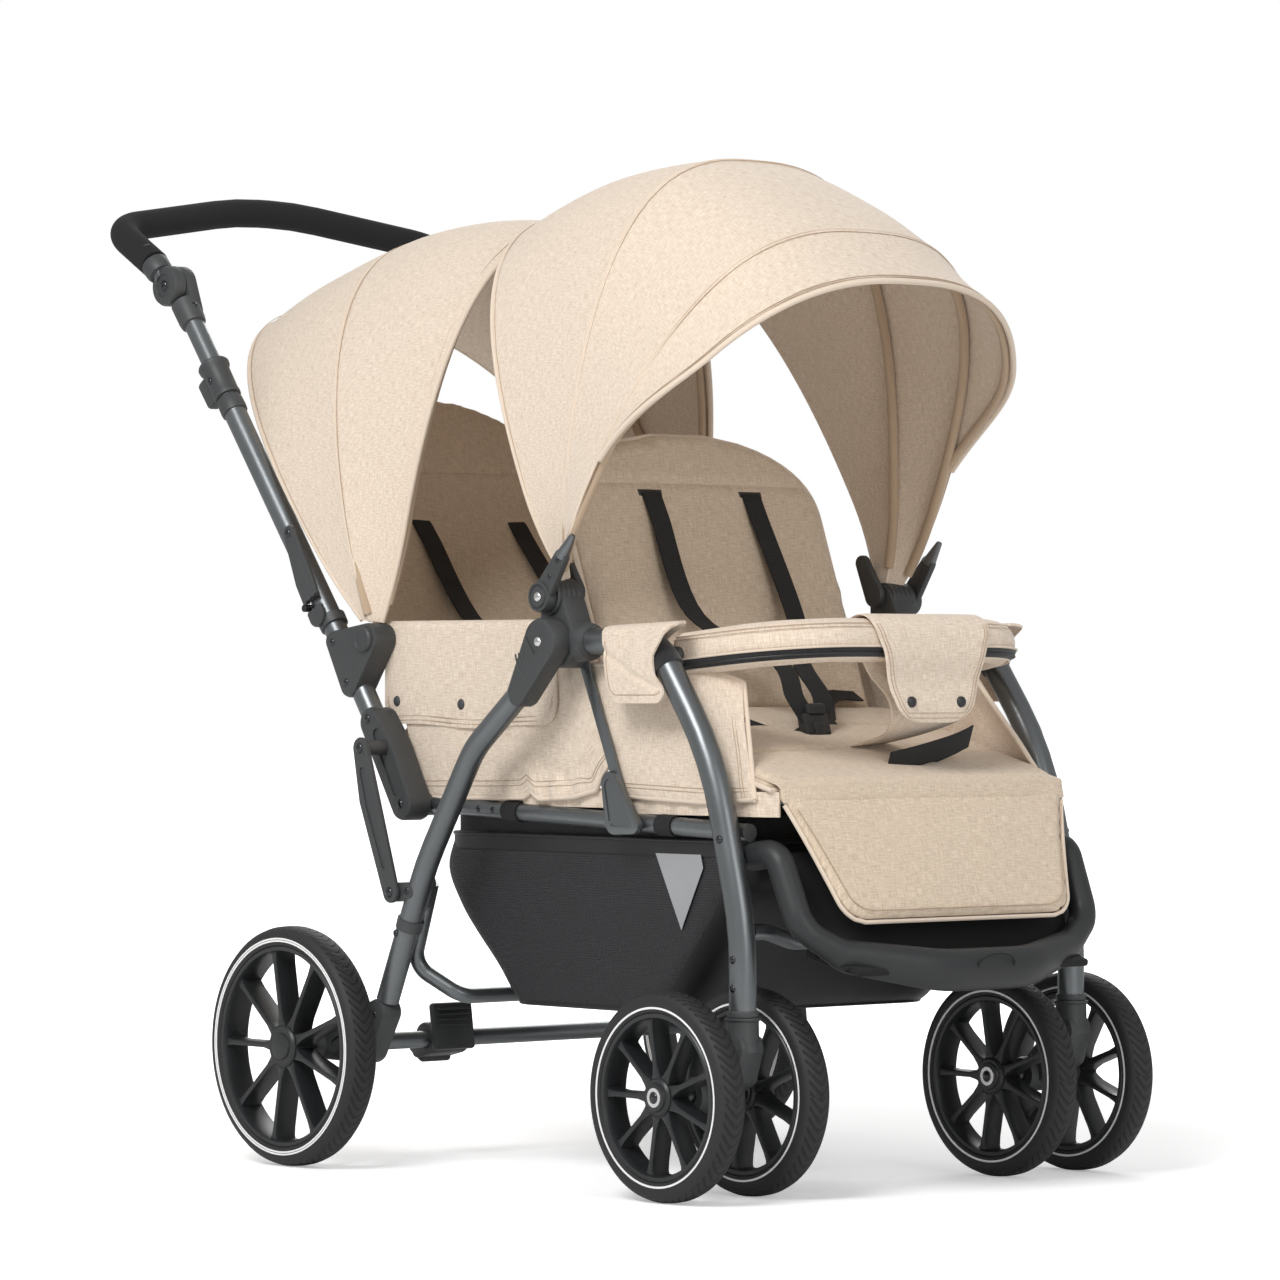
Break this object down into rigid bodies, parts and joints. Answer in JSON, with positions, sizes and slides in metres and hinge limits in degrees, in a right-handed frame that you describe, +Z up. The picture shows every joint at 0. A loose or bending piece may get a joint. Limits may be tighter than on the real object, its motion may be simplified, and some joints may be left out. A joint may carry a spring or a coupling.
{
  "type": "tandem stroller",
  "caption": "Tandem stroller with two seats one behind the other, folding hoods, reclining backrests, swivelling twin front wheels, a mesh basket and a folding tube frame",
  "frame": {"origin": "middle of the footprint on the floor, between the outermost points", "axes": "X across to the right of someone pushing is +X, Y rearward towards the handle, Z up"},
  "size_m": [0.637, 1.2005, 1.0518],
  "materials": {
    "frame_metal": "satin graphite paint",
    "dark_plastic": "fine-grained moulded plastic",
    "foam_grip": "closed-cell foam, matt",
    "tyre_rubber": "matt rubber",
    "wheel_black": "moulded black",
    "beige_fabric": "woven melange cloth",
    "black_fabric": "open mesh cloth",
    "black_webbing": "woven strap"
  },
  "bodies": {
    "chassis": {"basket": "black_fabric", "footrest": "dark_plastic", "front_cross": "dark_plastic", "front_hub_L": "dark_plastic", "front_hub_R": "dark_plastic", "front_leg_L": "frame_metal", "front_leg_R": "frame_metal", "front_seat": "beige_fabric", "rear_seat": "beige_fabric", "side_panel_L": "beige_fabric", "side_panel_R": "beige_fabric", "side_rail_L": "frame_metal", "side_rail_R": "frame_metal", "strut_L": "dark_plastic", "strut_R": "dark_plastic"},
    "rear_frame": {"rear_arm_L": "dark_plastic", "rear_arm_R": "dark_plastic", "rear_axle": "frame_metal", "rear_leg_L": "frame_metal", "rear_leg_R": "frame_metal", "rear_u_bar": "frame_metal"},
    "push_frame": {"hood_bracket_L": "dark_plastic", "hood_bracket_R": "dark_plastic", "push_foot_L": "dark_plastic", "push_foot_R": "dark_plastic", "push_tube_L": "frame_metal", "push_tube_R": "frame_metal"},
    "handle": {"handle_bar": "foam_grip"},
    "storage_hook": {"storage_hook": "dark_plastic"},
    "front_backrest": {"front_backrest": "beige_fabric", "front_harness": "black_webbing"},
    "rear_backrest": {"rear_backrest": "beige_fabric"},
    "leg_rest": {"leg_rest": "beige_fabric"},
    "bumper_bar": {"bumper_bar": "beige_fabric"},
    "brake_pedal": {"brake_pedal": "dark_plastic"},
    "caster_L": {"caster_fork_L": "dark_plastic"},
    "caster_lock_L": {"caster_lock_L": "dark_plastic"},
    "release_sleeve_L": {"release_sleeve_L": "dark_plastic"},
    "fold_link_L": {"fold_link_L": "dark_plastic"},
    "caster_R": {"caster_fork_R": "dark_plastic"},
    "caster_lock_R": {"caster_lock_R": "dark_plastic"},
    "release_sleeve_R": {"release_sleeve_R": "dark_plastic"},
    "fold_link_R": {"fold_link_R": "dark_plastic"},
    "front_hood_rear": {"front_hood_rear": "beige_fabric"},
    "front_hood_middle": {"front_hood_middle": "beige_fabric"},
    "front_hood_brim": {"front_hood_brim": "beige_fabric"},
    "rear_hood_rear": {"rear_hood_rear": "beige_fabric"},
    "rear_hood_front": {"rear_hood_front": "beige_fabric"},
    "rear_wheel_L": {"rear_rim_L": "wheel_black", "rear_tyre_L": "tyre_rubber"},
    "front_wheel_L_outer": {"front_rim_L_outer": "wheel_black", "front_tyre_L_outer": "tyre_rubber"},
    "front_wheel_L_inner": {"front_rim_L_inner": "wheel_black", "front_tyre_L_inner": "tyre_rubber"},
    "rear_wheel_R": {"rear_rim_R": "wheel_black", "rear_tyre_R": "tyre_rubber"},
    "front_wheel_R_outer": {"front_rim_R_outer": "wheel_black", "front_tyre_R_outer": "tyre_rubber"},
    "front_wheel_R_inner": {"front_rim_R_inner": "wheel_black", "front_tyre_R_inner": "tyre_rubber"}
  },
  "joints": [
    {"name": "fold", "type": "hinge", "parent": "chassis", "child": "push_frame", "pos_m": [0, 0.0293, 0.378], "axis": [1, 0, 0], "range_deg": [0, 72]},
    {"name": "rear_frame_fold", "type": "hinge", "parent": "chassis", "child": "rear_frame", "pos_m": [0, -0.2237, 0.545], "axis": [1, 0, 0], "range_deg": [-5.1, 0.1]},
    {"name": "handle_tilt", "type": "hinge", "parent": "push_frame", "child": "handle", "pos_m": [0, 0.4413, 0.936], "axis": [1, 0, 0], "range_deg": [-40, 50]},
    {"name": "storage_catch", "type": "hinge", "parent": "push_frame", "child": "storage_hook", "pos_m": [-0.2393, 0.2163, 0.662], "axis": [1, 0, 0], "range_deg": [-8, 10]},
    {"name": "front_recline", "type": "hinge", "parent": "chassis", "child": "front_backrest", "pos_m": [0, -0.2327, 0.468], "axis": [1, 0, 0], "range_deg": [-35, 0]},
    {"name": "rear_recline", "type": "hinge", "parent": "chassis", "child": "rear_backrest", "pos_m": [0, 0.0873, 0.448], "axis": [1, 0, 0], "range_deg": [-30, 0]},
    {"name": "leg_rest_lift", "type": "hinge", "parent": "chassis", "child": "leg_rest", "pos_m": [0, -0.49602, 0.39752], "axis": [1, 0, 0], "range_deg": [-60, 0]},
    {"name": "bumper_swing", "type": "hinge", "parent": "chassis", "child": "bumper_bar", "pos_m": [0, -0.3657, 0.532], "axis": [1, 0, 0], "range_deg": [-80, 0]},
    {"name": "brake_rock", "type": "hinge", "parent": "rear_frame", "child": "brake_pedal", "pos_m": [-0.126, 0.1043, 0.127], "axis": [1, 0, 0], "range_deg": [-12, 12]},
    {"name": "fold_link_L_turn", "type": "hinge", "parent": "push_frame", "child": "fold_link_L", "pos_m": [-0.2676, 0.0573, 0.436], "axis": [1, 0, 0], "range_deg": [-53, 0.5]},
    {"name": "release_L_slide", "type": "slide", "parent": "push_frame", "child": "release_sleeve_L", "axis": [0, 0.6031, 0.7976], "range_m": [0, 0.012], "stiffness_N_per_m": 200},
    {"name": "caster_L_swivel", "type": "hinge", "parent": "chassis", "child": "caster_L", "pos_m": [-0.225, -0.4837, 0.18], "axis": [0, 0, 1], "continuous": true},
    {"name": "caster_L_lock", "type": "hinge", "parent": "caster_L", "child": "caster_lock_L", "pos_m": [-0.225, -0.4442, 0.142], "axis": [1, 0, 0], "range_deg": [0, 20]},
    {"name": "rear_wheel_L_spin", "type": "hinge", "parent": "rear_frame", "child": "rear_wheel_L", "pos_m": [-0.3005, 0.1343, 0.125], "axis": [1, 0, 0], "continuous": true},
    {"name": "front_wheel_L_outer_spin", "type": "hinge", "parent": "caster_L", "child": "front_wheel_L_outer", "pos_m": [-0.28, -0.4347, 0.1028], "axis": [1, 0, 0], "continuous": true},
    {"name": "front_wheel_L_inner_spin", "type": "hinge", "parent": "caster_L", "child": "front_wheel_L_inner", "pos_m": [-0.17, -0.4347, 0.1028], "axis": [1, 0, 0], "continuous": true},
    {"name": "fold_link_R_turn", "type": "hinge", "parent": "push_frame", "child": "fold_link_R", "pos_m": [0.2676, 0.0573, 0.436], "axis": [1, 0, 0], "range_deg": [-53, 0.5]},
    {"name": "release_R_slide", "type": "slide", "parent": "push_frame", "child": "release_sleeve_R", "axis": [0, 0.6031, 0.7976], "range_m": [0, 0.012], "stiffness_N_per_m": 200},
    {"name": "caster_R_swivel", "type": "hinge", "parent": "chassis", "child": "caster_R", "pos_m": [0.225, -0.4837, 0.18], "axis": [0, 0, 1], "continuous": true},
    {"name": "caster_R_lock", "type": "hinge", "parent": "caster_R", "child": "caster_lock_R", "pos_m": [0.225, -0.4442, 0.142], "axis": [1, 0, 0], "range_deg": [0, 20]},
    {"name": "rear_wheel_R_spin", "type": "hinge", "parent": "rear_frame", "child": "rear_wheel_R", "pos_m": [0.3005, 0.1343, 0.125], "axis": [1, 0, 0], "continuous": true},
    {"name": "front_wheel_R_outer_spin", "type": "hinge", "parent": "caster_R", "child": "front_wheel_R_outer", "pos_m": [0.28, -0.4347, 0.1028], "axis": [1, 0, 0], "continuous": true},
    {"name": "front_wheel_R_inner_spin", "type": "hinge", "parent": "caster_R", "child": "front_wheel_R_inner", "pos_m": [0.17, -0.4347, 0.1028], "axis": [1, 0, 0], "continuous": true},
    {"name": "front_hood_fold", "type": "hinge", "parent": "chassis", "child": "front_hood_rear", "pos_m": [0, -0.2137, 0.59], "axis": [1, 0, 0], "range_deg": [-20, 0], "deforming": ["front_hood_rear"]},
    {"name": "front_hood_middle_fold", "type": "hinge", "parent": "front_hood_rear", "child": "front_hood_middle", "pos_m": [0, -0.2137, 0.59], "axis": [1, 0, 0], "range_deg": [-20, 0], "deforming": ["front_hood_middle"]},
    {"name": "front_hood_brim_fold", "type": "hinge", "parent": "front_hood_middle", "child": "front_hood_brim", "pos_m": [0, -0.2137, 0.59], "axis": [1, 0, 0], "range_deg": [-13, 0], "deforming": ["front_hood_brim"]},
    {"name": "rear_hood_fold", "type": "hinge", "parent": "push_frame", "child": "rear_hood_rear", "pos_m": [0, 0.0883, 0.549], "axis": [1, 0, 0], "range_deg": [-18, 0], "deforming": ["rear_hood_rear"]},
    {"name": "rear_hood_front_fold", "type": "hinge", "parent": "rear_hood_rear", "child": "rear_hood_front", "pos_m": [0, 0.0883, 0.549], "axis": [1, 0, 0], "range_deg": [-24, 0], "deforming": ["rear_hood_front"]}
  ],
  "couplings": [
    {"joint": "rear_frame_fold", "follows": "fold", "ratio": -0.07},
    {"joint": "fold_link_L_turn", "follows": "fold", "ratio": -0.734},
    {"joint": "fold_link_R_turn", "follows": "fold", "ratio": -0.734},
    {"joint": "front_hood_middle_fold", "follows": "front_hood_fold", "ratio": 1},
    {"joint": "front_hood_brim_fold", "follows": "front_hood_fold", "ratio": 0.6},
    {"joint": "rear_hood_front_fold", "follows": "rear_hood_fold", "ratio": 1.3}
  ]
}
